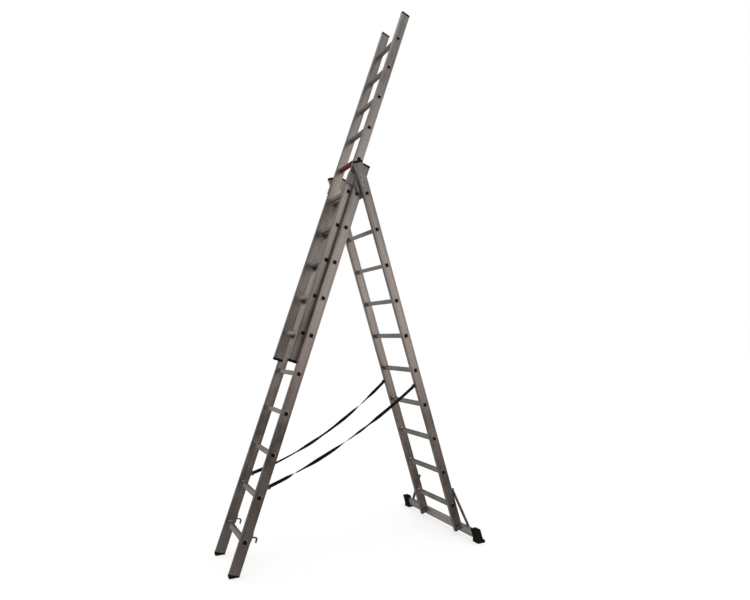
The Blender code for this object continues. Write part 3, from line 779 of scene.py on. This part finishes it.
def add_stabiliser():
    low, high = local_box("stabiliser_bar")
    middle = (low + high) / 2
    pitch = (high.z - low.z) / 5
    grooves = [pitch * k for k in (-1.5, -0.5, 0.5, 1.5)]
    outline = ribbed_outline(high.y - low.y, high.z - low.z, 0.003, grooves, (), BAR_GROOVE)
    bm = bmesh.new()
    extrusion(bm, outline, lambda u, v, s: Vector((s, middle.y + u, middle.z + v)), low.x, high.x)
    piece("stabiliser_bar_skin", bm, "rear", "bar", ("stabiliser_bar",))

    stile_low, stile_high = local_box("rear_stile_right")
    stile_x = (stile_low.x + stile_high.x) / 2
    for side, sign in SIDES.items():
        node = f"stabiliser_brace_{side}"
        rounded(f"{node}_skin", node, "worn_steel", 0.0006, segments=2)
        brace_low, brace_high = local_box(node)
        bm = bmesh.new()
        rear = Vector((0, 1, 0))
        upper = Vector((sign * stile_x, brace_high.y, brace_high.z - BRACE_BOLT_FROM_END))
        bolt(bm, upper, rear, BRACE_BOLT_RADIUS)
        turned(bm, upper, -rear, [(0.002, 0.008), (brace_high.y - stile_high.y + 0.0005, 0.008)])
        foot_end = brace_high.x if sign > 0 else brace_low.x
        foot_x = foot_end - sign * BRACE_BOLT_FROM_END
        bolt(bm, Vector((foot_x, brace_high.y, middle.z)), rear, BRACE_BOLT_RADIUS)
        bolt(bm, Vector((sign * stile_x, high.y, middle.z)), rear, BAR_BOLT_RADIUS)
        piece(f"stabiliser_bolts_{side}", bm, "rear", "steel")

        tip = Vector((sign * stile_x, (stile_low.y + low.y - GAP) / 2, stile_low.z))
        depth = low.y - GAP - stile_low.y
        bm = bmesh.new()
        cap = ribbed_outline(stile_high.x - stile_low.x + 0.001, depth - 0.0012, 0.003)
        extrusion(bm, cap, lambda u, v, s: tip + Vector((u, v, s)), -0.0075, 0.0, 0.0018)
        piece(f"rear_bottom_plug_{side}", bm, "rear", "plastic")

        boot_low, boot_high = local_box(f"stabiliser_boot_{side}")
        bm = bmesh.new()
        block_x = (boot_low.x + boot_high.x) / 2 + sign * 0.003
        for z in BOOT_RIVET_Z:
            rivet(bm, Vector((block_x, high.y + 0.0102, middle.z + z)), rear, 0.0055, 0.0022)
        piece(f"stabiliser_boot_rivets_{side}", bm, "rear", "steel")


def add_hinge():
    stile_low, stile_high = local_box("rear_stile_right")
    for side, sign in SIDES.items():
        node = f"hinge_plate_{side}"
        rounded(f"{node}_skin", node, "steel", 0.0006, segments=2)
        out = Vector((sign, 0, 0))
        inside_x = stile_low.x - GAP
        bm = bmesh.new()
        for y, z in HINGE_BOLTS:
            bolt(bm, Vector((sign * stile_high.x, y, z)), out, HINGE_BOLT_RADIUS)
            rivet(bm, Vector((sign * (inside_x - 0.003), y, z)), -out, 0.0050, 0.0016)
        bolt(bm, Vector((sign * inside_x, 0, 0)), out, PIVOT_BOLT_RADIUS)
        piece(f"hinge_bolts_{side}", bm, "rear", "steel")
        add_guide(side, sign, out)


def add_guide(side, sign, out):
    """The bent guide on the front section's stile, round the outside of the top section's stile."""
    front_low, front_high = local_box("front_stile_right")
    top_low, top_high = local_box(f"top_stile_{side}")
    near = abs(top_low.x) if sign < 0 else abs(top_high.x)
    face = near + GUIDE_OFF_STILE
    lip_x = near - GUIDE_LIP
    lip_y = top_low.y - 0.0025
    mount = front_low.x - GAP
    thick = GUIDE_THICK
    inner = [(lip_x, lip_y), (face - 0.002, lip_y), (face, lip_y + 0.002), (face, front_low.y - 0.012),
             (mount - thick, front_low.y - 0.002), (mount - thick, GUIDE_MOUNT_END)]
    outer = [(mount, GUIDE_MOUNT_END), (mount, front_low.y - 0.003), (face + thick, front_low.y - 0.013),
             (face + thick, lip_y + 0.001), (face + 0.001, lip_y - thick), (lip_x, lip_y - thick)]
    guide = [Vector((sign * x, y)) for x, y in inner + outer]
    bm = bmesh.new()
    extrusion(bm, guide, lambda u, v, s: Vector((u, v, s)), *GUIDE_SPAN, 0.0004)
    for z in GUIDE_RIVET_Z:
        rivet(bm, Vector((sign * (mount - thick), GUIDE_RIVET_Y, z)), -out, 0.0042, 0.0014)
        rivet(bm, Vector((sign * front_high.x, GUIDE_RIVET_Y, z)), out, 0.0048, 0.0018)
    piece(f"front_guide_{side}", bm, "front", "top_stile")


# --- floor, light and world ------------------------------------------------------------------------------


def add_studio():
    """A plain pale floor, a broad soft light from above and a dim room."""
    bm = bmesh.new()
    bmesh.ops.create_circle(bm, cap_ends=True, segments=96, radius=80.0)
    mesh = bpy.data.meshes.new("floor")
    bm.to_mesh(mesh)
    bm.free()
    floor = bpy.data.objects.new("floor", mesh)
    bpy.context.scene.collection.objects.link(floor)
    s = Shader("pale_floor")
    clouds = s.noise(s.coords, 2.0, 4.0)
    s.link(s.mix(clouds, (0.80, 0.80, 0.80), (0.84, 0.84, 0.84)), "Base Color")
    s.set(Roughness=0.9, Specular_IOR_Level=0.1, Emission_Color=(1, 1, 1, 1), Emission_Strength=0.68)
    mesh.materials.append(s.material)
    floor.visible_glossy = False

    sun = bpy.data.lights.new("overhead", "SUN")
    sun.energy = 0.5
    sun.angle = math.radians(70)
    lamp = bpy.data.objects.new("overhead", sun)
    bpy.context.scene.collection.objects.link(lamp)
    add_room()


# How bright the room is at each height: the sine of the elevation, then the colour
ROOM = (
    (-0.95, (0.36, 0.35, 0.34)), (-0.62, (0.30, 0.29, 0.28)), (-0.42, (0.085, 0.075, 0.066)),
    (-0.17, (0.110, 0.098, 0.088)), (0.0, (0.18, 0.168, 0.158)), (0.17, (0.23, 0.222, 0.216)),
    (0.64, (0.23, 0.226, 0.222)), (1.0, (0.32, 0.32, 0.32)),
)
# Broad soft patches of light on its walls: azimuth from +X towards +Y, elevation, outer
# and inner radius, all in degrees, and the colour
ROOM_PATCHES = (
    (38, 8, 27, 14, (0.66, 0.58, 0.53)),
    (211, -4, 40, 16, (0.34, 0.31, 0.29)),
)


def add_room():
    """What the metal mirrors: a dim room that darkens towards the floor, with soft patches on its walls."""
    world = bpy.data.worlds.new("studio")
    bpy.context.scene.world = world
    world.use_nodes = True
    tree = world.node_tree

    def node(kind, inputs=(), **settings):
        return add_node(tree, kind, inputs, **settings).outputs

    facing = node("ShaderNodeTexCoord")["Generated"]
    rise = node("ShaderNodeSeparateXYZ", {0: facing})["Z"]
    share = node("ShaderNodeMapRange", {"Value": rise, "From Min": -1.0})["Result"]
    ramp = tree.nodes.new("ShaderNodeValToRGB")
    tree.links.new(share, ramp.inputs["Fac"])
    stops = [((sine + 1) / 2, (*colour, 1)) for sine, colour in ROOM]
    first, last = ramp.color_ramp.elements
    (first.position, first.color), (last.position, last.color) = stops[0], stops[-1]
    for position, colour in stops[1:-1]:
        ramp.color_ramp.elements.new(position).color = colour
    light = ramp.outputs["Color"]
    for azimuth, elevation, outer, inner, colour in ROOM_PATCHES:
        azimuth, elevation = math.radians(azimuth), math.radians(elevation)
        flat = math.cos(elevation)
        towards = (flat * math.cos(azimuth), flat * math.sin(azimuth), math.sin(elevation))
        near = node("ShaderNodeVectorMath", {0: facing, 1: towards}, operation="DOT_PRODUCT")["Value"]
        edge, core = math.cos(math.radians(outer)), math.cos(math.radians(inner))
        limits = {"Value": near, "From Min": edge, "From Max": core}
        glow = node("ShaderNodeMapRange", limits, interpolation_type="SMOOTHSTEP")["Result"]
        patch = node("ShaderNodeVectorMath", {0: colour, "Scale": glow}, operation="SCALE")["Vector"]
        light = node("ShaderNodeVectorMath", {0: light, 1: patch}, operation="ADD")["Vector"]
    room = node("ShaderNodeBackground", {"Color": light})["Background"]
    backdrop = node("ShaderNodeBackground", {"Color": (1, 1, 1, 1)})["Background"]
    seen = node("ShaderNodeLightPath")["Is Camera Ray"]
    both = node("ShaderNodeMixShader", {0: seen, 1: room, 2: backdrop})[0]
    tree.links.new(both, tree.nodes["World Output"].inputs["Surface"])
    bpy.context.scene.view_settings.view_transform = "Standard"


add_camera()
for side, sign in SIDES.items():
    add_strap(side, sign)
for section in FRAMES:
    add_stiles(section)
    add_rungs(section)
add_caps()
add_hooks()
add_feet()
add_stabiliser()
add_hinge()
add_studio()
